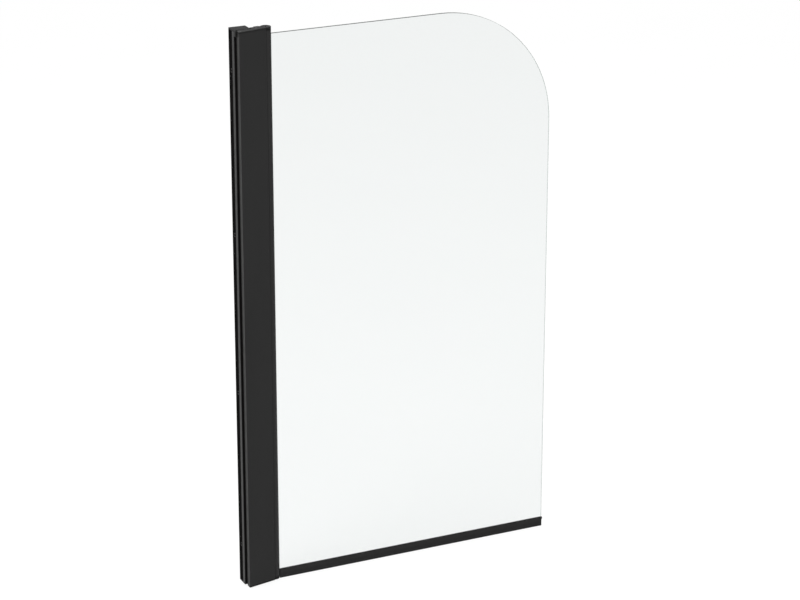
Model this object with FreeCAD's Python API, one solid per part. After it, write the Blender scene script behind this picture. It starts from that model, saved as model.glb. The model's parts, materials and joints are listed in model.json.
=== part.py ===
import FreeCAD, Part
import math
import os

# Pivoting bath screen: one pane of 6 mm glass with a large top corner radius, held in a round
# pivot barrel, which turns in a tapered hinge post, which telescopes on a wall profile.
#
# Millimetres. +X runs from the wall along the glass, -Y is the outer side of the bath,
# +Z is up. X = 0 is the wall, Y = 0 the middle of the glass, Z = 0 the foot of the profile.

# ---- driving dimensions: the whole screen --------------------------------------------------

HEIGHT = 1400.0                 # wall profile and hinge post, caps included
WIDTH = 826.0                   # wall to the nose of the seal rail, pushed fully in
TRAVEL = 18.0                   # how far the post pulls out of the wall profile
WALL_T = 1.6                    # general wall of the extrusions
FIT_GAP = 0.1                   # between pieces that are screwed or pushed together
SLIDE_GAP = 0.4                 # between pieces that slide

# ---- glass ---------------------------------------------------------------------------------

GLASS_T = 6.0
GLASS_END_X = 824.2             # free edge of the pane
GLASS_TOP = 1382.7
GLASS_FOOT = 12.5
GLASS_CORNER_R = 295.0
GLASS_ARRIS = 0.6               # ground edge of the pane

# ---- wall profile --------------------------------------------------------------------------

WP_DEPTH = 42.0                 # off the wall
WP_WEB = 2.6                    # against the wall
WP_FRONT_Y = -5.9
WP_BACK_Y = 27.5
WP_CORNER_R = 1.5
WP_SLOT_IN = (-4.2, 5.2)        # inner faces of the telescoping slot
WP_CHAMBER_Y = 6.8              # where the screw chamber starts
WALL_CAP_T = 3.6

SEAL_GROOVE_Y = (6.0, 26.4)     # groove for the strip against the wall
SEAL_GROOVE_DEPTH = 1.4
SEAL_RIBS = 3
CATCH_X = (36.4, 37.6)          # ribs that the screw cover snaps behind
CATCH_REACH = 0.9

FIX_HOLE_R = 2.75               # wall fixing holes
FIX_HOLE_Y = 16.4
FIX_HOLE_Z = (100.0, 500.0, 900.0, 1300.0)

COVER_T = 2.2                   # snap-in cover of the screw chamber
COVER_LEG_T = 1.2
COVER_HOOK_X = 34.6
COVER_HOOK_LENGTH = 1.5
COVER_GAP = 0.15

CAP_LEG_END_X = 33.0            # hollow leg of a wall cap, down in the screw chamber
CAP_LEG_DEPTH = 12.0
CAP_LEG_GAP = 0.3
CAP_EDGE = 0.8                  # chamfer round a wall cap
TAB_FOOT = 1386.0               # stop tab of the upper wall cap, beside the post
TAB_Y = -15.0
TAB_GAP = 0.3

# ---- hinge post ----------------------------------------------------------------------------

POST_EDGE_X = 4.0               # wall-side face of the front chamber
POST_FRONT_Y = -28.5            # its outer corner
POST_BEVEL_Y = -13.0            # where a bevel leads from that face to the back
POST_REAR_Y = -7.4              # back of the front chamber
POST_WALL = 1.8
POST_CORNER_R = 1.0
LIP_X = 76.6                    # front lip, beside the barrel
LIP_FRONT_Y = -14.1
SEAT_END_DEG = 150.0            # where the seat round the barrel ends, at the back
SHOULDER_X = 1.6                # from the end of the seat to the back corner of the body
BODY_X = 54.0                   # where the body behind the barrel starts
BODY_BACK_Y = 9.5
NECK_GAP = 0.6                  # between a post cap and the wall profile, pushed fully in
TONGUE_X = 4.4                  # hollow tongue that slides in the wall profile
TONGUE_Y = (WP_SLOT_IN[0] + SLIDE_GAP, WP_SLOT_IN[1] - SLIDE_GAP)
TONGUE_ROOT_X = 50.0
RIB_X = 29.0                    # rib across the front chamber
RIB_T = 1.6

CAP_T = 4.0                     # end caps of the post
LUG_X = ((16.5, 27.4), (31.0, 48.5))  # locating lugs of a cap, in the front chamber
LUG_DEPTH = 8.0
LUG_GAP = 0.3
PORTS = ((9.0, -19.0), (54.8, -4.0))  # screw ports, each open on one side
PORT_R = 3.6
PORT_HOLE_R = 1.75
PORT_SLIT = 1.6

SEAL_DEG = {"front": -128.0, "back": 158.0}  # the barrel seals, about the pivot axis
SEAL_HALF_DEG = 4.5
SEAL_LIP_HALF_DEG = 2.0
SEAL_ROOT_T = 1.1

GASKET_EDGE = 0.8               # liner between wall profile and post, set in from the edge
GASKET_RIB = 2.4
GASKET_RIB_T = 0.6
GASKET_RIB_X = (12.0, 23.0)
GASKET_GAP = 0.35

# ---- pivot barrel --------------------------------------------------------------------------

AXIS_X = 80.9                   # pivot axis, in the plane of the glass
BARREL_R = 12.6
BARREL_WALL = 1.7
SEAT_R = BARREL_R + 0.5         # hollow seat that the barrel turns in
SEAL_LIP_GAP = 0.3
BARREL_END_GAP = 1.0            # room for the thrust flange under a post cap
SLOT_HALF = 4.4                 # half the width of the glazing slot
SLOT_WALL = 1.5
SLOT_FLOOR_X = 77.3
GLASS_EDGE_X = 78.8             # hinge-side edge of the pane, in the slot
GASKET_MOUTH_X = 92.9
BARREL_WEB_HALF = 0.9
PLUG_PORT = (72.3, 0.0)         # screw port of the barrel
PLUG_PORT_R = 2.9
PLUG_PORT_HOLE_R = 1.5

END_BORE_R = 6.5                # bore in each end of the barrel, for the plug's spigot
END_BORE_DEPTH = 3.2
PLUG_T = 4.0
SPIGOT_GAP = 0.1
BUSH_R = 5.0
BUSH_LENGTH = 6.8               # below its flange
BUSH_FLANGE_R = 8.0
BUSH_FLANGE_T = 0.9
PIN_GAP = 0.05

# ---- pins and screws -----------------------------------------------------------------------

PIN_R = 4.0
PIN_HEAD_R = 5.2
PIN_HEAD_T = 1.5
PIN_SINK = 0.6
PIN_REACH = 7.2                 # below the cap
PIN_SOCKET_R = 2.9              # to the corners of the hexagon
PIN_SOCKET_DEPTH = 2.4

CAP_SCREW_R = 1.7
CAP_SCREW_HEAD_R = 3.7
CAP_SCREW_HEAD_T = 1.9
CAP_SCREW_LENGTH = 12.0         # below the cap
PLUG_SCREW_R = 1.45
PLUG_SCREW_HEAD_R = 3.0
PLUG_SCREW_HEAD_T = 1.6
PLUG_SCREW_LENGTH = 12.0        # below the plug

LOCK_Z = (200.0, 700.0, 1200.0)  # clamping screws between post and wall profile
LOCK_X = 10.2
LOCK_R = 2.5
LOCK_HEAD_R = 4.4
LOCK_HEAD_T = 3.2
LOCK_SLOT_R = 2.8
WASHER_T = 1.2
WASHER_HALF = 5.0
NUT_HALF = 4.0
NUT_GAP = 0.5
ACCESS_R = 6.0                  # openings over the clamping screws
ACCESS_RIM = 1.2
ACCESS_HEAD_T = 1.0
ACCESS_PLUG_DEPTH = 1.5

# ---- seal rail under the pane --------------------------------------------------------------

RAIL_X = 94.0                   # clear of the eye of the post cap, and of the lip at 90 degrees
RAIL_Z = (10.9, 21.3)
RAIL_HALF = 4.0
RAIL_LEAD_IN = 0.3
GLASS_SEAT_GAP = 0.05
RIB_STEM_HALF = 1.2             # T-rib that carries the seal
RIB_FOOT_HALF = 2.4
RIB_STEM_Z = 1.8
RIB_DEPTH = 3.0
NOSE_FOOT = 15.4                # nose of the rail, over the corner of the pane
NOSE_CHAMFER = 0.5

SEAL_FOOT = -2.4                # tips of the two wiping fins
SEAL_HALF = 3.8
SEAL_BODY_FOOT = 1.5
SEAL_HOLLOW_HALF = 2.5
SEAL_HOLLOW_Z = (2.9, 6.4)
SEAL_HOLLOW_R = 1.0
FIN_TIP_T = 0.7
FIN_ROOT_T = 1.5

# ---- worked out from the above -------------------------------------------------------------

WP_Z = (WALL_CAP_T, HEIGHT - WALL_CAP_T)
POST_Z = (CAP_T, HEIGHT - CAP_T)
CHAMBER_IN = (WP_CHAMBER_Y, WP_BACK_Y - WALL_T)
FRONT_SLOPE = (LIP_FRONT_Y - POST_FRONT_Y) / (LIP_X - POST_EDGE_X)
POST_BEVEL = POST_REAR_Y - POST_BEVEL_Y
BARREL_TOP = HEIGHT - CAP_T - BARREL_END_GAP - PLUG_T
BARREL_Z = (HEIGHT - BARREL_TOP, BARREL_TOP)
PLUG_TOP = BARREL_TOP + PLUG_T
SEAL_GROOVE_R = SEAT_R + SEAL_ROOT_T
PAST = 1.0                      # how far a cutter runs past a face
SMALL_SIDES = 16                # small screws, their holes and their covers are this many-sided
PIN_SOCKET_SIDES = 6


# ---- helpers ------------------------------------------------------------------------------

def vec(x, y, z=0.0):
    return FreeCAD.Vector(x, y, z)


def box(x, y, z):
    """A block from three (low, high) pairs."""
    return Part.makeBox(x[1] - x[0], y[1] - y[0], z[1] - z[0], vec(x[0], y[0], z[0]))


def small_rod_y(radius, x, y, z):
    """A many-sided round bar along Y, from y[0] to y[1]."""
    rod = thickened(polygon(radius, (x, z)), y[1] - y[0])
    rod.rotate(vec(0, 0), vec(1, 0, 0), 90)
    rod.translate(vec(0, y[1], 0))
    return rod


def small_rod_z(radius, centre, z):
    """A many-sided round bar, upright."""
    return upright(polygon(radius, centre), z)


def rod_z(radius, centre, z):
    """An upright cylinder from z[0] to z[1]."""
    return Part.makeCylinder(radius, z[1] - z[0], vec(*centre, z[0]))


def outline(corners):
    """Closed flat face from (x, y) or (x, y, radius) corners; a radius rounds that corner."""
    edges = []
    first = last = None
    count = len(corners)
    for i, corner in enumerate(corners):
        here = vec(corner[0], corner[1])
        radius = corner[2] if len(corner) > 2 else 0.0
        before = vec(*corners[i - 1][:2])
        after = vec(*corners[(i + 1) % count][:2])
        start = end = here
        if radius:
            back = (before - here).normalize()
            ahead = (after - here).normalize()
            half = back.getAngle(ahead) / 2
            start = here + back * (radius / math.tan(half))
            end = here + ahead * (radius / math.tan(half))
            inward = (back + ahead).normalize()
            middle = here + inward * (radius / math.sin(half) - radius)
        if last is not None:
            edges.append(Part.LineSegment(last, start).toShape())
        if radius:
            edges.append(Part.Arc(start, middle, end).toShape())
        first = start if first is None else first
        last = end
    edges.append(Part.LineSegment(last, first).toShape())
    return Part.Face(Part.Wire(edges))


def rectangle(x, y):
    return outline([(x[0], y[0]), (x[1], y[0]), (x[1], y[1]), (x[0], y[1])])


def disc(radius, centre):
    return Part.Face(Part.Wire(Part.Circle(vec(*centre), vec(0, 0, 1), radius).toShape()))


def polygon(radius, centre, sides=SMALL_SIDES):
    """Regular polygon, the radius to its corners."""
    angles = [2 * math.pi * i / sides for i in range(sides)]
    return outline([(centre[0] + radius * math.cos(a), centre[1] + radius * math.sin(a)) for a in angles])


def thickened(section, length):
    """One solid from a section whose faces touch or overlap."""
    solids = [face.extrude(vec(0, 0, length)) for face in section.Faces]
    return solids[0].fuse(solids[1:]).removeSplitter() if len(solids) > 1 else solids[0]


def upright(section, z):
    """Extrude a plan section from z[0] to z[1]."""
    solid = thickened(section, z[1] - z[0])
    solid.translate(vec(0, 0, z[0]))
    return solid


def along_x(section, x):
    """Extrude a (y, z) section from x[0] to x[1]."""
    solid = thickened(section, x[1] - x[0])
    solid.rotate(vec(0, 0), vec(1, 1, 1), 120)
    solid.translate(vec(x[0], 0, 0))
    return solid


def at_foot(top_piece):
    """The same piece at the lower end."""
    return top_piece.mirror(vec(0, 0, HEIGHT / 2), vec(0, 0, 1))


def polar(radius, degrees):
    """A plan point at a radius and angle about the pivot axis."""
    angle = math.radians(degrees)
    return AXIS_X + radius * math.cos(angle), radius * math.sin(angle)


def ring_sector(inner, outer, degrees, half_angle):
    """Flat ring sector about the pivot axis, half_angle to each side of an angle."""
    angles = (degrees - half_angle, degrees, degrees + half_angle)
    a, b, c = [vec(*polar(inner, angle)) for angle in angles]
    d, e, f = [vec(*polar(outer, angle)) for angle in angles]
    return Part.Face(Part.Wire([
        Part.Arc(a, b, c).toShape(),
        Part.LineSegment(c, f).toShape(),
        Part.Arc(f, e, d).toShape(),
        Part.LineSegment(d, a).toShape(),
    ]))


def export(name, shape, pieces=1):
    """Write one sub-part, which must be the stated number of separate solids."""
    shape = shape.removeSplitter()
    if len(shape.Solids) != pieces or not shape.isValid():
        raise ValueError(f"{name} has {len(shape.Solids)} solids, not {pieces}")
    shape.exportStep(f"parts/{name}.step")


def export_pair(name, top_piece, pieces=1):
    """The same fitting at both ends."""
    export(f"{name}_top", top_piece, pieces)
    export(f"{name}_bottom", at_foot(top_piece), pieces)


# ---- wall profile and what is fixed to it --------------------------------------------------

def wall_outline():
    return outline([
        (0, WP_FRONT_Y),
        (WP_DEPTH, WP_FRONT_Y),
        (WP_DEPTH, WP_BACK_Y, WP_CORNER_R),
        (0, WP_BACK_Y),
    ])


def oblong(radius, y, z):
    """An oblong bar along Y, as long in X as the post's travel, at a clamping screw."""
    bar = box((LOCK_X, LOCK_X + TRAVEL), y, (z - radius, z + radius))
    return bar.fuse([small_rod_y(radius, x, y, z) for x in (LOCK_X, LOCK_X + TRAVEL)])


def wall_profile():
    """Telescoping slot in front, screw chamber behind it, seal groove against the wall."""
    low, high = CHAMBER_IN
    section = wall_outline().cut([
        rectangle((WP_WEB, WP_DEPTH), WP_SLOT_IN),
        rectangle((WP_WEB, WP_DEPTH), CHAMBER_IN),
        rectangle((0, SEAL_GROOVE_DEPTH), SEAL_GROOVE_Y),
    ])
    section = section.fuse([
        rectangle(CATCH_X, (low - WALL_T / 2, low + CATCH_REACH)),
        rectangle(CATCH_X, (high - CATCH_REACH, high + WALL_T / 2)),
    ])
    fixings = [
        Part.makeCylinder(FIX_HOLE_R, WP_WEB + 2 * PAST, vec(-PAST, FIX_HOLE_Y, z), vec(1, 0, 0))
        for z in FIX_HOLE_Z
    ]
    slots = [oblong(LOCK_SLOT_R, (WP_SLOT_IN[1] - PAST, WP_CHAMBER_Y + PAST), z) for z in LOCK_Z]
    openings = [oblong(ACCESS_R, (CHAMBER_IN[1] - PAST, WP_BACK_Y + PAST), z) for z in LOCK_Z]
    return upright(section, WP_Z).cut(fixings + slots + openings)


def wall_seal():
    """Ribbed strip in the groove behind the screw chamber, with a window at each fixing."""
    y0, y1 = SEAL_GROOVE_Y[0] + FIT_GAP, SEAL_GROOVE_Y[1] - FIT_GAP
    pitch = (y1 - y0) / (SEAL_RIBS * 2 - 1)
    ribs = []
    for i in range(SEAL_RIBS):
        start = y0 + 2 * i * pitch
        ribs.append(rectangle((0, SEAL_GROOVE_DEPTH), (start, start + pitch)))
    base = rectangle((SEAL_GROOVE_DEPTH / 2, SEAL_GROOVE_DEPTH), (y0, y1))
    half = 2 * FIX_HOLE_R
    window_y = (FIX_HOLE_Y - half, FIX_HOLE_Y + half)
    windows = [box((-PAST, SEAL_GROOVE_DEPTH + PAST), window_y, (z - half, z + half)) for z in FIX_HOLE_Z]
    return upright(base.fuse(ribs), WP_Z).cut(windows)


def slide_gasket():
    """Ribbed liner between the wall profile and the back of the post's front chamber."""
    tips = POST_REAR_Y + GASKET_GAP
    base = tips + GASKET_RIB_T
    last_rib = WP_DEPTH - GASKET_EDGE - GASKET_RIB
    section = rectangle((GASKET_EDGE, WP_DEPTH - GASKET_EDGE), (base, WP_FRONT_Y))
    ribs = [rectangle((x, x + GASKET_RIB), (tips, base)) for x in (GASKET_EDGE, *GASKET_RIB_X, last_rib)]
    return upright(section.fuse(ribs), (WALL_CAP_T, TAB_FOOT - FIT_GAP))


def screw_cover():
    """Snap-in strip that closes the screw chamber along its whole height."""
    low, high = CHAMBER_IN[0] + COVER_GAP, CHAMBER_IN[1] - COVER_GAP
    inner_x = WP_DEPTH - COVER_T
    hook_end = COVER_HOOK_X + COVER_HOOK_LENGTH
    legs = []
    for wall, inward in ((low, 1), (high, -1)):
        face = wall + inward * (CATCH_REACH + COVER_GAP)
        back = face + inward * COVER_LEG_T
        legs.append(rectangle((COVER_HOOK_X, inner_x), (min(face, back), max(face, back))))
        legs.append(outline([
            (COVER_HOOK_X, face),
            (hook_end, wall + inward * COVER_GAP),
            (hook_end, back),
            (COVER_HOOK_X, back),
        ]))
    return upright(rectangle((inner_x, WP_DEPTH), (low, high)).fuse(legs), WP_Z)


def access_plugs():
    """Oblong covers over the openings to the clamping screws."""
    head_y = (WP_BACK_Y, WP_BACK_Y + ACCESS_HEAD_T)
    body_y = (CHAMBER_IN[1] - ACCESS_PLUG_DEPTH, WP_BACK_Y)
    return Part.makeCompound([
        oblong(ACCESS_R + ACCESS_RIM, head_y, z).fuse(oblong(ACCESS_R - FIT_GAP, body_y, z))
        for z in LOCK_Z
    ])


def wall_cap(with_tab):
    """Upper cap of the wall profile: a plate, and a hollow leg in the screw chamber."""
    foot = HEIGHT - WALL_CAP_T
    plate = upright(wall_outline(), (foot, HEIGHT))
    rim = []
    for edge in plate.Edges:
        middle = edge.CenterOfMass
        on_top = abs(middle.z - HEIGHT) < FIT_GAP
        if on_top and middle.x > CAP_EDGE and middle.y > WP_FRONT_Y + CAP_EDGE:
            rim.append(edge)
    plate = plate.makeChamfer(CAP_EDGE, rim)
    leg_x = (WP_WEB + CAP_LEG_GAP, CAP_LEG_END_X)
    leg_y = (CHAMBER_IN[0] + CAP_LEG_GAP, CHAMBER_IN[1] - CAP_LEG_GAP)
    core = box(
        (leg_x[0] + WALL_T, leg_x[1] - WALL_T),
        (leg_y[0] + WALL_T, leg_y[1] - WALL_T),
        (foot - CAP_LEG_DEPTH - PAST, foot - WALL_T),
    )
    cap = plate.fuse(box(leg_x, leg_y, (foot - CAP_LEG_DEPTH, foot)).cut(core))
    if with_tab:
        tab_x = POST_EDGE_X - TAB_GAP
        tab = outline([(0, WP_FRONT_Y), (0, TAB_Y, TAB_GAP), (tab_x, TAB_Y), (tab_x, WP_FRONT_Y)])
        cap = cap.fuse(upright(tab, (TAB_FOOT, HEIGHT)))
    return cap


# ---- hinge post ----------------------------------------------------------------------------

def front_y(x, inset=0.0):
    """Y of the slanted front face at x, set in by a wall thickness."""
    return POST_FRONT_Y + FRONT_SLOPE * (x - POST_EDGE_X) + inset * math.hypot(1, FRONT_SLOPE)


def post_plan(inner_side):
    """Plan of the post before its seat is cut; inner_side is its line towards the wall."""
    shoulder = polar(SEAT_R + POST_WALL, SEAT_END_DEG)
    return outline([
        (POST_EDGE_X, POST_FRONT_Y, POST_CORNER_R),
        (LIP_X, LIP_FRONT_Y),
        (LIP_X, 0),
        (AXIS_X, 0),
        shoulder,
        (shoulder[0] - SHOULDER_X, BODY_BACK_Y, WALL_T / 2),
        (BODY_X, BODY_BACK_Y, WP_CORNER_R),
        (BODY_X, TONGUE_Y[1]),
        *inner_side,
        (POST_EDGE_X + POST_BEVEL, POST_REAR_Y),
        (POST_EDGE_X, POST_BEVEL_Y),
    ])


def behind_front(x, back, inset):
    """A four-sided plan behind the slanted front face, set in from its outer side."""
    return outline([
        (x[0], front_y(x[0], inset)),
        (x[1], front_y(x[1], inset)),
        (x[1], back),
        (x[0], back),
    ])


def edge_chamber():
    """The hollow at the wall-side edge, with the bevel's slope at its rear corner."""
    x0, x1 = POST_EDGE_X + POST_WALL, RIB_X - RIB_T / 2
    back = POST_REAR_Y - WALL_T
    bevel_y = POST_BEVEL_Y + POST_WALL - WALL_T * math.sqrt(2)
    return outline([
        (x0, front_y(x0, POST_WALL)),
        (x1, front_y(x1, POST_WALL)),
        (x1, back),
        (x0 + back - bevel_y, back),
        (x0, bevel_y),
    ])


def hinge_post():
    """Slanted front chamber, tongue in the wall profile, body with the barrel's round seat."""
    axis = (AXIS_X, 0)
    root = TONGUE_ROOT_X + WALL_T
    body_x = BODY_X + POST_WALL
    body_back = BODY_BACK_Y - POST_WALL
    tongue_back = TONGUE_Y[1] - WALL_T
    body = outline([
        (root, front_y(root, POST_WALL)),
        (LIP_X, front_y(LIP_X, POST_WALL)),
        (LIP_X, body_back),
        (body_x, body_back),
        (body_x, tongue_back),
        (root, tongue_back),
    ]).cut(disc(SEAT_R + POST_WALL, axis))
    hollows = [
        edge_chamber(),
        behind_front((RIB_X + RIB_T / 2, TONGUE_ROOT_X), POST_REAR_Y - WALL_T, POST_WALL),
        body,
        rectangle((TONGUE_X + WALL_T, TONGUE_ROOT_X - WALL_T), (TONGUE_Y[0] + WALL_T, tongue_back)),
    ]
    plan = post_plan([
        (TONGUE_X, TONGUE_Y[1]),
        (TONGUE_X, TONGUE_Y[0]),
        (TONGUE_ROOT_X, TONGUE_Y[0]),
        (TONGUE_ROOT_X, POST_REAR_Y),
    ])
    section = plan.cut([disc(SEAT_R, axis), *hollows]).fuse([polygon(PORT_R, port) for port in PORTS])
    openings = [ring_sector(SEAT_R - PAST, SEAL_GROOVE_R, d, SEAL_HALF_DEG) for d in SEAL_DEG.values()]
    for x, y in PORTS:
        openings.append(polygon(PORT_HOLE_R, (x, y)))
        openings.append(rectangle((x, x + PORT_R + PAST), (y - PORT_SLIT / 2, y + PORT_SLIT / 2)))
    screw_y = (tongue_back - PAST, TONGUE_Y[1] + PAST)
    screw_holes = [small_rod_y(LOCK_R + FIT_GAP, LOCK_X, screw_y, z) for z in LOCK_Z]
    return upright(section.cut(openings), POST_Z).cut(screw_holes)


def pivot_seal(degrees):
    """Wiper strip in a groove of the seat, just clear of the barrel."""
    root = ring_sector(SEAT_R, SEAL_GROOVE_R, degrees, SEAL_HALF_DEG)
    lip = ring_sector(BARREL_R + SEAL_LIP_GAP, SEAT_R + FIT_GAP, degrees, SEAL_LIP_HALF_DEG)
    return upright(root.fuse(lip), POST_Z)


def post_cap():
    """Upper cap of the post: its plate ends in the eye that holds the pivot pin."""
    foot = HEIGHT - CAP_T
    axis = (AXIS_X, 0)
    neck_x = WP_DEPTH + NECK_GAP
    plan = post_plan([(neck_x, TONGUE_Y[1]), (neck_x, POST_REAR_Y)]).fuse(disc(BARREL_R, axis))
    lug_back = POST_REAR_Y - WALL_T - LUG_GAP
    lugs = [
        upright(behind_front(x, lug_back, POST_WALL + LUG_GAP), (foot - LUG_DEPTH, foot))
        for x in LUG_X
    ]
    through = (foot - PAST, HEIGHT + PAST)
    head_seat = HEIGHT - PIN_SINK - PIN_HEAD_T
    cuts = [
        rod_z(PIN_R, axis, through),
        rod_z(PIN_HEAD_R + FIT_GAP, axis, (head_seat, HEIGHT + PAST)),
    ]
    for port in PORTS:
        cuts.append(small_rod_z(CAP_SCREW_R + FIT_GAP, port, through))
        cuts.append(countersink(CAP_SCREW_R, CAP_SCREW_HEAD_R, CAP_SCREW_HEAD_T, port, HEIGHT, FIT_GAP))
    return upright(plan, (foot, HEIGHT)).fuse(lugs).cut(cuts)


def countersink(small_r, large_r, depth, centre, top, gap=0.0):
    """Many-sided cone of a countersunk head, or of its seat with a gap all round."""
    foot = polygon(small_r + gap, centre).OuterWire
    rim = polygon(large_r + gap, centre).OuterWire
    foot.translate(vec(0, 0, top - depth))
    rim.translate(vec(0, 0, top))
    return Part.makeLoft([foot, rim], True, True)


def cap_screws():
    """Countersunk screws into the post's screw ports."""
    screws = []
    for port in PORTS:
        head = countersink(CAP_SCREW_R, CAP_SCREW_HEAD_R, CAP_SCREW_HEAD_T, port, HEIGHT)
        shank_z = (HEIGHT - CAP_T - CAP_SCREW_LENGTH, HEIGHT - CAP_SCREW_HEAD_T)
        screws.append(head.fuse(small_rod_z(CAP_SCREW_R, port, shank_z)))
    return Part.makeCompound(screws)


def pivot_pin():
    """Headed pin, sunk in the eye of the cap, with a hexagon socket."""
    axis = (AXIS_X, 0)
    head_top = HEIGHT - PIN_SINK
    head = rod_z(PIN_HEAD_R, axis, (head_top - PIN_HEAD_T, head_top))
    shank = rod_z(PIN_R, axis, (HEIGHT - CAP_T - PIN_REACH, head_top - PIN_HEAD_T))
    hexagon = polygon(PIN_SOCKET_R, axis, PIN_SOCKET_SIDES)
    socket = upright(hexagon, (head_top - PIN_SOCKET_DEPTH, head_top + PAST))
    return head.fuse(shank).cut(socket)


def lock_screws():
    """Pan-head screws that clamp the tongue to the wall profile."""
    head_y = WP_CHAMBER_Y + FIT_GAP + WASHER_T
    shank_y = (TONGUE_Y[0] + WALL_T + SLIDE_GAP, head_y)
    return Part.makeCompound([
        small_rod_y(LOCK_HEAD_R, LOCK_X, (head_y, head_y + LOCK_HEAD_T), z).fuse(
            small_rod_y(LOCK_R, LOCK_X, shank_y, z))
        for z in LOCK_Z
    ])


def square_plate(half, y, hole_r, z):
    """A square washer or nut round a clamping screw."""
    plate = box((LOCK_X - half, LOCK_X + half), y, (z - half, z + half))
    return plate.cut(small_rod_y(hole_r, LOCK_X, (y[0] - PAST, y[1] + PAST), z))


def lock_washers():
    """Square clamping washers, wide enough to bridge the slots."""
    y = (WP_CHAMBER_Y + FIT_GAP, WP_CHAMBER_Y + FIT_GAP + WASHER_T)
    return Part.makeCompound([square_plate(WASHER_HALF, y, LOCK_R + FIT_GAP, z) for z in LOCK_Z])


def lock_nuts():
    """Square nuts held between the walls of the tongue."""
    y = (TONGUE_Y[0] + WALL_T + NUT_GAP, TONGUE_Y[1] - WALL_T - PIN_GAP)
    return Part.makeCompound([square_plate(NUT_HALF, y, LOCK_R + PIN_GAP, z) for z in LOCK_Z])


# ---- pivot barrel, glass and what they carry -----------------------------------------------

def pivot_barrel():
    """Round tube with a walled glazing slot, a web and a screw port, bored at both ends."""
    axis = (AXIS_X, 0)
    web_x = SLOT_FLOOR_X - SLOT_WALL
    past_barrel = AXIS_X + BARREL_R + PAST
    hollow = disc(BARREL_R - BARREL_WALL, axis).cut([
        rectangle((web_x, past_barrel), (-SLOT_HALF - SLOT_WALL, SLOT_HALF + SLOT_WALL)),
        rectangle((AXIS_X - BARREL_R, web_x), (-BARREL_WEB_HALF, BARREL_WEB_HALF)),
        polygon(PLUG_PORT_R, PLUG_PORT),
    ])
    slot = rectangle((SLOT_FLOOR_X, past_barrel), (-SLOT_HALF, SLOT_HALF))
    section = disc(BARREL_R, axis).cut([hollow, slot, polygon(PLUG_PORT_HOLE_R, PLUG_PORT)])
    bore = rod_z(END_BORE_R, axis, (BARREL_TOP - END_BORE_DEPTH, BARREL_TOP + PAST))
    return upright(section, BARREL_Z).cut([bore, at_foot(bore)])


def barrel_plug(block_depth):
    """Upper plug: a disc on the barrel's end, a spigot in its bore, a block in the slot's mouth."""
    axis = (AXIS_X, 0)
    spigot_z = (BARREL_TOP - END_BORE_DEPTH + SPIGOT_GAP, BARREL_TOP)
    block_z = (BARREL_TOP - block_depth, BARREL_TOP)
    slot = rectangle((AXIS_X, AXIS_X + BARREL_R), (FIT_GAP - SLOT_HALF, SLOT_HALF - FIT_GAP))
    plug = rod_z(BARREL_R, axis, (BARREL_TOP, PLUG_TOP)).fuse([
        rod_z(END_BORE_R - SPIGOT_GAP, axis, spigot_z),
        upright(slot.common(disc(BARREL_R, axis)), block_z),
    ])
    return plug.cut([
        rod_z(BUSH_R + PIN_GAP, axis, (block_z[0] - PAST, PLUG_TOP + PAST)),
        small_rod_z(PLUG_SCREW_R + FIT_GAP, PLUG_PORT, (BARREL_TOP - PAST, PLUG_TOP + PAST)),
        countersink(PLUG_SCREW_R, PLUG_SCREW_HEAD_R, PLUG_SCREW_HEAD_T, PLUG_PORT, PLUG_TOP, FIT_GAP),
    ])


def plug_screw():
    head = countersink(PLUG_SCREW_R, PLUG_SCREW_HEAD_R, PLUG_SCREW_HEAD_T, PLUG_PORT, PLUG_TOP)
    shank_z = (BARREL_TOP - PLUG_SCREW_LENGTH, PLUG_TOP - PLUG_SCREW_HEAD_T)
    return head.fuse(small_rod_z(PLUG_SCREW_R, PLUG_PORT, shank_z))


def pivot_bush():
    """Flanged bush in the plug; its flange is the thrust face against the post cap."""
    axis = (AXIS_X, 0)
    sleeve_foot = PLUG_TOP - BUSH_LENGTH
    flange_top = PLUG_TOP + BUSH_FLANGE_T
    sleeve = rod_z(BUSH_R, axis, (sleeve_foot, PLUG_TOP))
    flange = rod_z(BUSH_FLANGE_R, axis, (PLUG_TOP, flange_top))
    return sleeve.fuse(flange).cut(rod_z(PIN_R + PIN_GAP, axis, (sleeve_foot - PAST, flange_top + PAST)))


def glass_panel():
    """The pane, with its big top corner radius and a ground arris all round."""
    half = GLASS_T / 2
    face = outline([
        (GLASS_EDGE_X, GLASS_FOOT),
        (GLASS_END_X, GLASS_FOOT),
        (GLASS_END_X, GLASS_TOP, GLASS_CORNER_R),
        (GLASS_EDGE_X, GLASS_TOP),
    ])
    pane = face.extrude(vec(0, 0, GLASS_T))
    pane.rotate(vec(0, 0), vec(1, 0, 0), 90)
    pane.translate(vec(0, half, 0))
    rim = [edge for edge in pane.Edges if abs(abs(edge.CenterOfMass.y) - half) < FIT_GAP]
    return pane.makeChamfer(GLASS_ARRIS, rim)


def glazing_gasket():
    """U-shaped gasket round the edge of the glass, inside the barrel's slot."""
    outer = SLOT_HALF - GLASS_SEAT_GAP
    inner = GLASS_T / 2 + GLASS_SEAT_GAP
    section = rectangle((SLOT_FLOOR_X + GLASS_SEAT_GAP, GASKET_MOUTH_X), (-outer, outer)).cut(
        rectangle((GLASS_EDGE_X - GLASS_SEAT_GAP, GASKET_MOUTH_X + PAST), (-inner, inner)))
    return upright(section, (GLASS_FOOT, GLASS_TOP))


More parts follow.
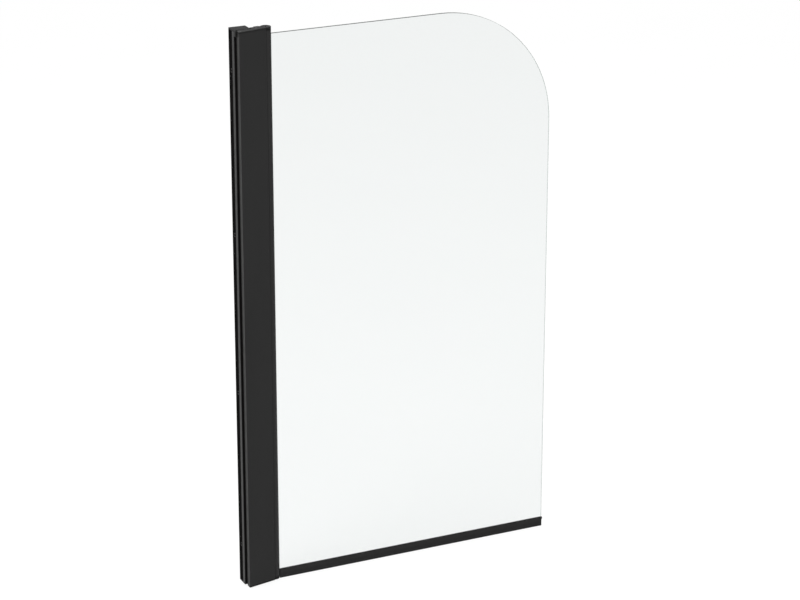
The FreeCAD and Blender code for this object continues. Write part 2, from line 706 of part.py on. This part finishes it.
def bottom_rail():
    """Channel along the foot of the pane, with a T-rib that carries the seal."""
    seat = GLASS_T / 2 + GLASS_SEAT_GAP
    foot, top = RAIL_Z
    right_side = [
        (RIB_FOOT_HALF, foot - RIB_DEPTH),
        (RIB_FOOT_HALF, foot - RIB_STEM_Z),
        (RIB_STEM_HALF, foot - RIB_STEM_Z),
        (RIB_STEM_HALF, foot),
        (RAIL_HALF, foot),
        (RAIL_HALF, top - RAIL_LEAD_IN),
        (RAIL_HALF - RAIL_LEAD_IN, top),
        (seat, top),
        (seat, GLASS_FOOT - FIT_GAP),
    ]
    left_side = [(-y, z) for y, z in reversed(right_side)]
    return along_x(outline(right_side + left_side), (RAIL_X, GLASS_END_X))


def bottom_seal():
    """Soft seal on the rail's T-rib: a hollow body with an outer and an inner wiping fin."""
    top = RAIL_Z[0]
    low, high = SEAL_HOLLOW_Z
    side, corner = SEAL_HOLLOW_HALF, SEAL_HOLLOW_R
    body = rectangle((-SEAL_HALF, SEAL_HALF), (SEAL_BODY_FOOT, top)).cut([
        rectangle((-RIB_STEM_HALF - FIT_GAP, RIB_STEM_HALF + FIT_GAP), (top - RIB_STEM_Z, top + PAST)),
        rectangle(
            (-RIB_FOOT_HALF - FIT_GAP, RIB_FOOT_HALF + FIT_GAP),
            (top - RIB_DEPTH - FIT_GAP, top - RIB_STEM_Z + FIT_GAP),
        ),
        outline([(-side, low, corner), (side, low, corner), (side, high, corner), (-side, high, corner)]),
    ])
    fins = [
        outline([
            (sign * SEAL_HALF, SEAL_BODY_FOOT),
            (sign * SEAL_HALF, SEAL_FOOT),
            (sign * (SEAL_HALF - FIN_TIP_T), SEAL_FOOT),
            (sign * (SEAL_HALF - FIN_ROOT_T), SEAL_BODY_FOOT),
        ])
        for sign in (-1, 1)
    ]
    return along_x(body.fuse(fins), (RAIL_X, GLASS_END_X))


def rail_end_cap():
    """Small moulded nose on the free end of the rail, over the corner of the pane."""
    nose = box((GLASS_END_X, WIDTH), (-RAIL_HALF, RAIL_HALF), (NOSE_FOOT, RAIL_Z[1]))
    corners = [edge for edge in nose.Edges if abs(edge.CenterOfMass.x - WIDTH) < FIT_GAP]
    return nose.makeChamfer(NOSE_CHAMFER, corners)


# ---- build ----------------------------------------------------------------------------------

def main():
    os.makedirs("parts", exist_ok=True)
    export("wall_profile", wall_profile())
    export("wall_seal", wall_seal())
    export("slide_gasket", slide_gasket())
    export("screw_cover", screw_cover())
    export("access_plugs", access_plugs(), len(LOCK_Z))
    export("wall_cap_top", wall_cap(True))
    export("wall_cap_bottom", at_foot(wall_cap(False)))

    export("hinge_post", hinge_post())
    export_pair("post_cap", post_cap())
    export_pair("cap_screws", cap_screws(), len(PORTS))
    export_pair("pivot_pin", pivot_pin())
    for side, degrees in SEAL_DEG.items():
        export(f"pivot_seal_{side}", pivot_seal(degrees))
    export("lock_screws", lock_screws(), len(LOCK_Z))
    export("lock_washers", lock_washers(), len(LOCK_Z))
    export("lock_nuts", lock_nuts(), len(LOCK_Z))

    glass_room = END_BORE_DEPTH - SPIGOT_GAP
    export("pivot_barrel", pivot_barrel())
    export("barrel_plug_top", barrel_plug(BARREL_TOP - GLASS_TOP - GLASS_ARRIS))
    export("barrel_plug_bottom", at_foot(barrel_plug(glass_room)))
    export_pair("plug_screw", plug_screw())
    export_pair("pivot_bush", pivot_bush())
    export("glass_panel", glass_panel())
    export("glazing_gasket", glazing_gasket())
    export("bottom_rail", bottom_rail())
    export("bottom_seal", bottom_seal())
    export("rail_end_cap", rail_end_cap())


main()
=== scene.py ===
import json
import math

import bmesh
import bpy
from mathutils import Matrix, Vector

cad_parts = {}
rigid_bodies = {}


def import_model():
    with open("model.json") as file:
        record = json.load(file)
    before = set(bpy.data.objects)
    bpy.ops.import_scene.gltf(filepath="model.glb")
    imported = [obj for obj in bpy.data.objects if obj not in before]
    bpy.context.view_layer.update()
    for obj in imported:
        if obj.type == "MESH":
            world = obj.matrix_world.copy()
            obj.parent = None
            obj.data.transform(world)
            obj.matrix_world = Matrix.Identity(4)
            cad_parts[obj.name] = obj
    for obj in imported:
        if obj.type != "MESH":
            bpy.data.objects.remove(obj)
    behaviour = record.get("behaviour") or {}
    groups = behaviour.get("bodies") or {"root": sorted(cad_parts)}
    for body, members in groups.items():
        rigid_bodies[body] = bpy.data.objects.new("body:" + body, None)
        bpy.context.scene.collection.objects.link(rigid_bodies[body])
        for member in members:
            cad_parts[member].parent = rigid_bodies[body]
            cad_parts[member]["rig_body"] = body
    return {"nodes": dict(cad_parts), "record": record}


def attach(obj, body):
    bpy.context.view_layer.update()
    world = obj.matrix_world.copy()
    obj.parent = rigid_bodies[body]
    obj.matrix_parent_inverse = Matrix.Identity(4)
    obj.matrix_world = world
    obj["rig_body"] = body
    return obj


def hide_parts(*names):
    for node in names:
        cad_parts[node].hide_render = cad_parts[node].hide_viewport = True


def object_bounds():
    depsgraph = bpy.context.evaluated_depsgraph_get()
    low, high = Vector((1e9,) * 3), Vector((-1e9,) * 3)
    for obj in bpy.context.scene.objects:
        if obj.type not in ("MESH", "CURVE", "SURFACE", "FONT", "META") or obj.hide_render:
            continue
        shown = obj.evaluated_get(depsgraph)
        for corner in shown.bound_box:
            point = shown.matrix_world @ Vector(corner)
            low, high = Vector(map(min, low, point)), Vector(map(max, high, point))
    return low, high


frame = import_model()
CAD_BOX = [list(corner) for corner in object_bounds()]

MM = 0.001
NODES = frame["nodes"]
SLOT_OF = {part["node"]: part["material_slot"] for part in frame["record"]["subparts"]}

# ---- camera: the photograph's viewpoint ----------------------------------------------------
# The photograph is 800 by 600 pixels, and its optical axis passes 6 pixels left of the middle.

CAMERA_POSITION = (-2.2437, -5.6785, 2.9755)
CAMERA_FORWARD = (0.397105, 0.850801, -0.344157)
FRAME_WIDTH_PX = 800
FRAME_HEIGHT_PX = 600
FOCAL_PX = 2741.8
OPTICAL_CENTRE_PX = (394.0, 300.5)
SENSOR_WIDTH = 36.0             # millimetres
FAR_CLIP = 60.0


def make_camera():
    """A camera with the photograph's place, direction, focal length and optical centre."""
    data = bpy.data.cameras.new("camera")
    data.sensor_fit = "HORIZONTAL"
    data.sensor_width = SENSOR_WIDTH
    data.lens = SENSOR_WIDTH * FOCAL_PX / FRAME_WIDTH_PX
    data.shift_x = (FRAME_WIDTH_PX / 2 - OPTICAL_CENTRE_PX[0]) / FRAME_WIDTH_PX
    data.shift_y = (OPTICAL_CENTRE_PX[1] - FRAME_HEIGHT_PX / 2) / FRAME_WIDTH_PX
    data.clip_end = FAR_CLIP
    camera = bpy.data.objects.new("camera", data)
    camera.location = CAMERA_POSITION
    camera.rotation_euler = Vector(CAMERA_FORWARD).to_track_quat("-Z", "Y").to_euler()
    bpy.context.scene.collection.objects.link(camera)
    bpy.context.scene.camera = camera


# ---- material helpers ----------------------------------------------------------------------

NOISE_RANGE = (0.3, 0.7)        # where most of a noise lies


def new_material(name):
    """A material, its node tree and its shader."""
    material = bpy.data.materials.new(name)
    material.use_nodes = True
    tree = material.node_tree
    return material, tree, tree.nodes["Principled BSDF"]


def coordinates(tree, kind):
    """The piece's own coordinates: "Object" for points, "Normal" for the surface's direction."""
    return tree.nodes.new("ShaderNodeTexCoord").outputs[kind]


def noise(tree, scale, detail=3.0, axes=(1.0, 1.0, 1.0)):
    """Noise over the piece; an axis below 1 draws it out along that axis."""
    mapping = tree.nodes.new("ShaderNodeMapping")
    mapping.inputs["Scale"].default_value = axes
    tree.links.new(coordinates(tree, "Object"), mapping.inputs["Vector"])
    texture = tree.nodes.new("ShaderNodeTexNoise")
    texture.inputs["Scale"].default_value = scale
    texture.inputs["Detail"].default_value = detail
    tree.links.new(mapping.outputs["Vector"], texture.inputs["Vector"])
    return texture.outputs["Fac"]


def spread(tree, factor, low, high, start=0.0, end=1.0):
    """Map a factor between start and end to a value between low and high."""
    node = tree.nodes.new("ShaderNodeMapRange")
    for name, value in (("From Min", start), ("From Max", end), ("To Min", low), ("To Max", high)):
        node.inputs[name].default_value = value
    tree.links.new(factor, node.inputs["Value"])
    return node.outputs["Result"]


def drift(tree, low, high, **settings):
    """A value that drifts between low and high with a noise of these settings."""
    return spread(tree, noise(tree, **settings), low, high, *NOISE_RANGE)


def mix_colour(tree, factor, first, second):
    """A mix of two colours, each of which may be another node's output."""
    node = tree.nodes.new("ShaderNodeMix")
    node.data_type = "RGBA"
    for name, colour in (("A", first), ("B", second)):
        if isinstance(colour, bpy.types.NodeSocket):
            tree.links.new(colour, node.inputs[name])
        else:
            node.inputs[name].default_value = colour
    tree.links.new(factor, node.inputs["Factor"])
    return node.outputs["Result"]


def bump(tree, shader, strength, distance, **settings):
    """Relief from a noise of these settings."""
    node = tree.nodes.new("ShaderNodeBump")
    node.inputs["Strength"].default_value = strength
    node.inputs["Distance"].default_value = distance
    tree.links.new(noise(tree, **settings), node.inputs["Height"])
    tree.links.new(node.outputs["Normal"], shader.inputs["Normal"])


def grey(value, tint=(1.0, 1.0, 1.0)):
    """An opaque grey, which a tint may warm or cool."""
    return (*(value * channel for channel in tint), 1.0)


def surface(name, colours, tone, roughness, gloss, grain, even):
    """A material with drifting colour and roughness and a fine relief.

    colours and roughness are the low and the high value. tone, gloss and grain are settings of
    the noises for colour, roughness and relief. even holds, by socket, what is the same all over.
    """
    material, tree, shader = new_material(name)
    colour = mix_colour(tree, drift(tree, 0.0, 1.0, **tone), *colours)
    tree.links.new(colour, shader.inputs["Base Color"])
    tree.links.new(drift(tree, *roughness, **gloss), shader.inputs["Roughness"])
    for socket, value in even.items():
        shader.inputs[socket].default_value = value
    if grain:
        bump(tree, shader, **grain)
    return material


# ---- materials -----------------------------------------------------------------------------

def powder_coat():
    """Fine matt black powder on the extrusions: slight orange peel, slow drift in tone."""
    return surface(
        "powder_coat",
        colours=(grey(0.0100), grey(0.0125)),
        tone={"scale": 9.0, "detail": 4.0, "axes": (1.0, 1.0, 0.25)},
        roughness=(0.38, 0.46),
        gloss={"scale": 60.0, "detail": 4.0},
        grain={"scale": 1500.0, "detail": 2.0, "strength": 0.25, "distance": 0.06 * MM},
        even={"Specular IOR Level": 0.17},
    )


def moulded_black():
    """Black moulding with a fine grain, a little duller than the coated metal."""
    return surface(
        "moulded_black",
        colours=(grey(0.010), grey(0.014)),
        tone={"scale": 40.0},
        roughness=(0.50, 0.62),
        gloss={"scale": 300.0},
        grain={"scale": 2600.0, "strength": 0.35, "distance": 0.05 * MM},
        even={"Specular IOR Level": 0.10},
    )


def rubber(name, tones, specular, roughness):
    """Soft black seals, with fine lines along Z and a trace of bloom."""
    return surface(
        name,
        colours=[grey(value) for value in tones],
        tone={"scale": 35.0, "detail": 5.0},
        roughness=roughness,
        gloss={"scale": 220.0},
        grain={"scale": 900.0, "detail": 2.0, "axes": (1.0, 1.0, 0.02),
               "strength": 0.3, "distance": 0.05 * MM},
        even={"Specular IOR Level": specular},
    )


def steel(name, tones, metallic, roughness):
    """Machined fixings, plain or blackened, with fine streaks along Z."""
    return surface(
        name,
        colours=[grey(value) for value in tones],
        tone={"scale": 700.0, "axes": (1.0, 1.0, 0.15)},
        roughness=roughness,
        gloss={"scale": 900.0},
        grain={"scale": 3000.0, "strength": 0.2, "distance": 0.03 * MM},
        even={"Metallic": metallic},
    )


def nylon():
    """Natural nylon of the bushes: off-white and slightly translucent."""
    off_white = (1.0, 0.99, 0.95)
    return surface(
        "nylon",
        colours=(grey(0.70, off_white), grey(0.78, off_white)),
        tone={"scale": 120.0},
        roughness=(0.38, 0.5),
        gloss={"scale": 400.0},
        grain=None,
        even={"Subsurface Weight": 0.1, "Subsurface Scale": 2.0 * MM},
    )


GLASS_FACE = (0.873, 0.892, 0.887, 1.0)
GLASS_SIDE_EDGE = (0.52, 0.62, 0.57, 1.0)
# painted shade: the top edge is painted near black; the side edge keeps the glass's green
GLASS_TOP_EDGE_PAINTED_SHADE = (0.010, 0.016, 0.013, 1.0)
GLASS_EDGE_ROUGHNESS = 0.12     # the faces have none
GLASS_IOR = 1.5
EDGE_TO_FACE = (0.80, 0.98)     # the normal's part across the pane, from its edges to its faces
SIDE_TO_PAINTED_SHADE_TOP = (0.25, 0.70)      # the normal's upward part, from the side edge to the top edge with its painted shade


def clear_glass():
    """Clear toughened pane: nearly white faces and a green side edge; the top edge has painted shade,
    near black, though the real edges are alike.
    """
    material, tree, shader = new_material("clear_glass")
    normal = tree.nodes.new("ShaderNodeSeparateXYZ")
    tree.links.new(coordinates(tree, "Normal"), normal.inputs["Vector"])
    across = tree.nodes.new("ShaderNodeMath")
    across.operation = "ABSOLUTE"
    tree.links.new(normal.outputs["Y"], across.inputs[0])
    # mask of the painted shade on the top edge, by how far the normal points up
    painted_shade_on_top = spread(tree, normal.outputs["Z"], 0.0, 1.0, *SIDE_TO_PAINTED_SHADE_TOP)
    on_face = spread(tree, across.outputs["Value"], 0.0, 1.0, *EDGE_TO_FACE)
    edge = mix_colour(tree, painted_shade_on_top, GLASS_SIDE_EDGE, GLASS_TOP_EDGE_PAINTED_SHADE)
    tree.links.new(mix_colour(tree, on_face, edge, GLASS_FACE), shader.inputs["Base Color"])
    tree.links.new(spread(tree, on_face, GLASS_EDGE_ROUGHNESS, 0.0), shader.inputs["Roughness"])
    shader.inputs["Transmission Weight"].default_value = 1.0
    shader.inputs["IOR"].default_value = GLASS_IOR
    bump(tree, shader, strength=0.02, distance=0.5 * MM, scale=3.0, detail=1.0)
    return material


FINISHES = {
    "black_frame": powder_coat(),
    "black_moulding": moulded_black(),
    "seal_rubber": rubber("seal_rubber", (0.0065, 0.0095), specular=0.22, roughness=(0.58, 0.74)),
    "fixing_steel": steel("plain_steel", (0.50, 0.60), metallic=1.0, roughness=(0.25, 0.37)),
    "blackened_steel": steel("blackened_steel", (0.012, 0.022), metallic=0.6, roughness=(0.37, 0.49)),
    "bush_nylon": nylon(),
    "clear_glass": clear_glass(),
}
SEAL_PAINTED_SHADE_TONES = (0.0025, 0.0045)  # painted shade: darker tones for the seals deep in the joints and against the wall, standing for the shade there
# painted shade: these seal materials are darker than seal_rubber to stand for the shade in the joints
# and against the wall
FOAMED_PAINTED_SHADE = rubber("foamed_rubber_painted_shade", SEAL_PAINTED_SHADE_TONES, specular=0.02, roughness=(0.80, 0.96))
GASKET_PAINTED_SHADE = rubber("gasket_rubber_painted_shade", SEAL_PAINTED_SHADE_TONES, specular=0.10, roughness=(0.62, 0.78))
PAINTED_SHADE_SEALS = {
    "wall_seal": FOAMED_PAINTED_SHADE,
    "pivot_seal_front": FOAMED_PAINTED_SHADE,
    "pivot_seal_back": FOAMED_PAINTED_SHADE,
    "slide_gasket": GASKET_PAINTED_SHADE,
}


def dress():
    """Give every node the finish of its slot; the inner seals get painted shade, darker and duller,
    for the shade in the joints and against the wall.
    """
    for name, node in NODES.items():
        node.data.materials.clear()
        node.data.materials.append(PAINTED_SHADE_SEALS.get(name, FINISHES[SLOT_OF[name]]))


# ---- fasteners: turned shapes with sockets and threads, in millimetres ----------------------
# Each is made with its axis on Z and its head's face at 0, and then turned into its place.

SIDES = 24                      # round a turned shape; a multiple of 6, for the hexagons
RINGS_PER_PITCH = 4
THREAD_DEPTH = 0.6              # of the pitch
POINT_TAPER = 0.8               # of the thread's root, at the end of a shank
DRILL_TAPER = 0.35              # of the socket's corner radius, at the foot of its drilled cone
DRILL_DEPTH = 0.25
SHARP_ANGLE = math.radians(35.0)

CAP_SCREW = dict(head_r=3.7, head_h=1.9, radius=1.7, pitch=0.7, socket_r=1.44, socket_h=1.3)
PLUG_SCREW = dict(head_r=3.0, head_h=1.6, radius=1.45, pitch=0.5, socket_r=1.15, socket_h=1.1)
LOCK_SCREW = dict(head_r=4.4, head_h=3.2, radius=2.5, pitch=0.8, socket_r=1.73, socket_h=1.8)
BUTTON_RISE = 0.75              # of the head's height, for a quarter turn of its dome
BUTTON_TURNS = (0, 15, 30, 45, 60)  # degrees round the dome, up to the flat round the socket
BUTTON_CHAMFER = 0.15

PLUG_HEAD = 1.0                 # thickness of the rim that lies on the wall profile
PLUG_RIM = 1.3                  # how far the rim reaches past the body of the plug
PLUG_CHAMFER = 0.3

# Points of a softened rim: how far in from its radius, and how far below the head's face.
COUNTERSUNK_RIM = ((0.24, 0.22), (0.14, 0.10), (0.28, 0.0))
PLUG_CROWN = ((0.0, 0.60), (0.15, 0.32), (0.50, 0.12), (1.20, 0.02), (2.00, 0.0))

GROUP_GAP = 5.0 * MM            # between the separate solids of a node
ALONG_X, ALONG_Y, ALONG_Z = range(3)
TURNS = {
    "up": Matrix.Identity(4),
    "down": Matrix.Rotation(math.pi, 4, "X"),
    "back": Matrix.Rotation(-math.pi / 2, 4, "X"),
}


def groups(node, axis):
    """Boxes of the separate solids of a node, told apart by the gaps along an axis."""
    points = sorted((vertex.co.copy() for vertex in NODES[node].data.vertices),
                    key=lambda point: point[axis])
    runs = [[points[0]]]
    for point in points[1:]:
        if point[axis] - runs[-1][-1][axis] > GROUP_GAP:
            runs.append([])
        runs[-1].append(point)
    return [(Vector(map(min, *run)), Vector(map(max, *run))) for run in runs]


def seat(low, high, facing):
    """Where a fastener goes, centred in its box with its head at one side, and its length."""
    axis = ALONG_Y if facing == "back" else ALONG_Z
    head = [(near + far) / 2 for near, far in zip(low, high)]
    head[axis] = low[axis] if facing == "down" else high[axis]
    return Matrix.Translation(head) @ TURNS[facing], (high[axis] - low[axis]) / MM


def loft(shape, loops, place):
    """A closed skin over loops of points, from its foot to its head."""
    rings = [[shape.verts.new(place @ (Vector(point) * MM)) for point in loop] for loop in loops]
    for lower, upper in zip(rings, rings[1:]):
        for index, corner in enumerate(lower):
            after = (index + 1) % len(lower)
            shape.faces.new((corner, lower[after], upper[after], upper[index]))
    shape.faces.new(reversed(rings[0]))
    shape.faces.new(rings[-1])


def turned(rings):
    """Loops of a turned shape; a ring is a radius and a height, the radius may depend on both."""
    loops = []
    for radius, z in rings:
        loop = []
        for side in range(SIDES):
            angle = math.tau * side / SIDES
            reach = radius(angle, z) if callable(radius) else radius
            loop.append((reach * math.cos(angle), reach * math.sin(angle), z))
        loops.append(loop)
    return loops


def hexagon(corner):
    """Radius of a hexagon, which is `corner` at its corners."""
    flat = corner * math.cos(math.pi / 6)
    return lambda angle, z: flat / math.cos(angle % (math.pi / 3) - math.pi / 6)


def helix(radius, pitch):
    """Radius of a thread, which is `radius` at its crest."""
    depth = THREAD_DEPTH * pitch
    return lambda angle, z: radius - depth * abs(2 * ((z / pitch - angle / math.tau) % 1.0) - 1)


def threaded_shank(foot, top, radius, pitch):
    """Rings of a threaded shank, with a chamfered end and a short plain neck."""
    root = radius - THREAD_DEPTH * pitch
    start = foot + pitch / 2
    end = top - pitch
    count = round((end - start) / pitch * RINGS_PER_PITCH)
    step = (end - start) / count
    rings = [(POINT_TAPER * root, foot), (root, start)]
    rings += [(helix(radius, pitch), start + step * (index + 0.5)) for index in range(count)]
    return rings + [(root, end), (radius, top)]


def hexagon_socket(corner, depth):
    """Rings of a hexagon socket with a shallow drilled cone at its floor."""
    cone = (DRILL_TAPER * corner, -depth - DRILL_DEPTH)
    return [(hexagon(corner), 0.0), (hexagon(corner), -depth), cone]


def countersunk_screw(length, head_r, head_h, radius, pitch, socket_r, socket_h):
    """Rings of a screw with a conical head and a softened rim."""
    rim = [(head_r - inset, -drop) for inset, drop in COUNTERSUNK_RIM]
    return threaded_shank(-length, -head_h, radius, pitch) + rim + hexagon_socket(socket_r, socket_h)


def button_screw(length, head_r, head_h, radius, pitch, socket_r, socket_h):
    """Rings of a screw with a low domed head."""
    turns = [math.radians(degrees) for degrees in BUTTON_TURNS]
    rise = BUTTON_RISE * head_h
    crest = math.sin(turns[-1])
    dome = [(head_r - BUTTON_CHAMFER, -head_h), (head_r, BUTTON_CHAMFER - head_h)]
    dome += [(head_r * math.cos(turn), rise * (math.sin(turn) - crest)) for turn in turns]
    return threaded_shank(-length, -head_h, radius, pitch) + dome + hexagon_socket(socket_r, socket_h)


def stadium(radius, straight, z):
    """Loop of an oblong, long in x; `straight` is half its straight side."""
    loop = []
    for end, first in ((straight, -math.pi / 2), (-straight, math.pi / 2)):
        for step in range(SIDES + 1):
            angle = first + math.pi * step / SIDES
            loop.append((end + radius * math.cos(angle), radius * math.sin(angle), z))
    return loop


def push_in_plug(length, radius, straight):
    """Loops of an oblong plug with a softly crowned rim."""
    body = radius - PLUG_RIM
    section = [(body - PLUG_CHAMFER, -length), (body, PLUG_CHAMFER - length)]
    section += [(body, -PLUG_HEAD), (radius, -PLUG_HEAD)]
    section += [(radius - inset, -drop) for inset, drop in PLUG_CROWN]
    return [stadium(reach, straight, z) for reach, z in section]


def stand_in(shape, node):
    """Make the finished shape the visible piece for a node, on its body and with its finish."""
    mesh = bpy.data.meshes.new(node + "_detail")
    shape.to_mesh(mesh)
    shape.free()
    for face in mesh.polygons:
        face.use_smooth = True
    mesh.set_sharp_from_angle(angle=SHARP_ANGLE)
    mesh.materials.append(FINISHES[SLOT_OF[node]])
    piece = bpy.data.objects.new(node + "_detail", mesh)
    bpy.context.scene.collection.objects.link(piece)
    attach(piece, NODES[node]["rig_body"])
    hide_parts(node)


def make_screws(node, axis, facing, rings_of, size):
    """The screws of a node, which lie apart along an axis and all face the same way."""
    shape = bmesh.new()
    for low, high in groups(node, axis):
        place, length = seat(low, high, facing)
        loft(shape, turned(rings_of(length, **size)), place)
    stand_in(shape, node)


def make_access_plugs():
    """The plugs over the clamping screws, as wide and as long as their boxes."""
    shape = bmesh.new()
    for low, high in groups("access_plugs", ALONG_Z):
        place, length = seat(low, high, "back")
        radius = (high.z - low.z) / 2 / MM
        straight = (high.x - low.x) / 2 / MM - radius
        loft(shape, push_in_plug(length, radius, straight), place)
    stand_in(shape, "access_plugs")


def make_fasteners():
    """Every screw and plug, in place of its plain solid."""
    for end, facing in (("top", "up"), ("bottom", "down")):
        make_screws("cap_screws_" + end, ALONG_X, facing, countersunk_screw, CAP_SCREW)
        make_screws("plug_screw_" + end, ALONG_X, facing, countersunk_screw, PLUG_SCREW)
    make_screws("lock_screws", ALONG_Z, "back", button_screw, LOCK_SCREW)
    make_access_plugs()


# ---- edges: what comes out of a die or a mould has no knife edges ----------------------------

EXTRUDED = ("wall_profile", "hinge_post", "pivot_barrel", "bottom_rail", "screw_cover")
MOULDED = ("wall_cap_top", "wall_cap_bottom", "post_cap_top", "post_cap_bottom",
           "barrel_plug_top", "barrel_plug_bottom", "rail_end_cap")
MACHINED = ("pivot_pin_top", "pivot_pin_bottom", "pivot_bush_top", "pivot_bush_bottom",
            "lock_washers", "lock_nuts")
EXTRUDED_EDGE = 0.25 * MM
MOULDED_EDGE = 0.30 * MM
MACHINED_EDGE = 0.15 * MM
EDGE_SEGMENTS = 2
EDGE_ANGLE = math.radians(35.0)
FLAT_ANGLE = math.radians(0.2)
WELD = 0.001 * MM


def soften(nodes, width):
    """Join the facets of flat faces, and round the sharp edges between them."""
    for node in nodes:
        modifiers = NODES[node].modifiers
        modifiers.new("weld", "WELD").merge_threshold = WELD
        flat = modifiers.new("flat", "DECIMATE")
        flat.decimate_type = "DISSOLVE"
        flat.angle_limit = FLAT_ANGLE
        edge = modifiers.new("edge", "BEVEL")
        edge.width = width
        edge.segments = EDGE_SEGMENTS
        edge.limit_method = "ANGLE"
        edge.angle_limit = EDGE_ANGLE


# ---- surroundings --------------------------------------------------------------------------

FLOOR_GAP = 0.5 * MM
FLOOR_SIZE = 40.0
FLOOR_TONES = (grey(0.90), grey(0.93))
FLOOR_ROUGHNESS = 0.9
FLOOR_LIFT = 0.8                # share of plain white in the floor where it is seen directly
FLOOR_WHITE = 1.065             # with the lit floor's share it comes to about 1 behind the pane
WORLD_AS_LIGHT = 0.75

LIT_POINT = (0.3, 0.0, 0.7)
LIGHTS = (
    {"name": "key_left", "position": (-3.2, -1.6, 2.6), "size": 2.0, "power": 92.0},
    {"name": "fill_front", "position": (1.6, -3.4, 2.2), "size": 2.5, "power": 20.0},
    {"name": "top", "position": (0.3, 0.6, 3.6), "size": 2.0, "power": 30.0},
)


def seen_directly(tree):
    """1 for the camera, reflections and refractions, and 0 for the light that falls on things."""
    path = tree.nodes.new("ShaderNodeLightPath")
    seen = path.outputs["Is Camera Ray"]
    for name in ("Is Glossy Ray", "Is Transmission Ray"):
        either = tree.nodes.new("ShaderNodeMath")
        either.operation = "MAXIMUM"
        tree.links.new(seen, either.inputs[0])
        tree.links.new(path.outputs[name], either.inputs[1])
        seen = either.outputs["Value"]
    return seen


def floor_material():
    """Pale floor, white where it is lit and seen directly, greyer in the object's shadow."""
    material, tree, shader = new_material("pale_floor")
    speck = drift(tree, 0.0, 1.0, scale=2.0, detail=2.0)
    tree.links.new(mix_colour(tree, speck, *FLOOR_TONES), shader.inputs["Base Color"])
    shader.inputs["Roughness"].default_value = FLOOR_ROUGHNESS
    shader.inputs["Specular IOR Level"].default_value = 0.0
    white = tree.nodes.new("ShaderNodeEmission")
    white.inputs["Strength"].default_value = FLOOR_WHITE
    lifted = tree.nodes.new("ShaderNodeMixShader")
    tree.links.new(spread(tree, seen_directly(tree), 0.0, FLOOR_LIFT), lifted.inputs["Fac"])
    tree.links.new(shader.outputs["BSDF"], lifted.inputs[1])
    tree.links.new(white.outputs["Emission"], lifted.inputs[2])
    tree.links.new(lifted.outputs["Shader"], tree.nodes["Material Output"].inputs["Surface"])
    return material


def make_floor():
    """One large plain face just under the object."""
    level = CAD_BOX[0][2] - FLOOR_GAP
    half = FLOOR_SIZE / 2
    mesh = bpy.data.meshes.new("floor")
    corners = [(-half, -half, level), (half, -half, level), (half, half, level), (-half, half, level)]
    mesh.from_pydata(corners, [], [(0, 1, 2, 3)])
    mesh.materials.append(floor_material())
    floor = bpy.data.objects.new("floor", mesh)
    bpy.context.scene.collection.objects.link(floor)


def make_world():
    """Even studio surround: white to the camera and in reflections, softer as a light."""
    world = bpy.data.worlds.new("studio")
    bpy.context.scene.world = world
    world.use_nodes = True
    tree = world.node_tree
    background = tree.nodes["Background"]
    background.inputs["Color"].default_value = grey(1.0)
    strength = spread(tree, seen_directly(tree), WORLD_AS_LIGHT, 1.0)
    tree.links.new(strength, background.inputs["Strength"])


def area_light(name, position, size, power):
    """A soft square light, turned towards the lit point."""
    data = bpy.data.lights.new(name, "AREA")
    data.size = size
    data.energy = power
    light = bpy.data.objects.new(name, data)
    light.location = position
    light.rotation_euler = (Vector(LIT_POINT) - Vector(position)).to_track_quat("-Z", "Y").to_euler()
    bpy.context.scene.collection.objects.link(light)


# ---- build ---------------------------------------------------------------------------------

make_camera()
dress()
make_fasteners()
soften(EXTRUDED, EXTRUDED_EDGE)
soften(MOULDED, MOULDED_EDGE)
soften(MACHINED, MACHINED_EDGE)
make_floor()
make_world()
for light in LIGHTS:
    area_light(**light)
bpy.context.scene.view_settings.view_transform = "Standard"
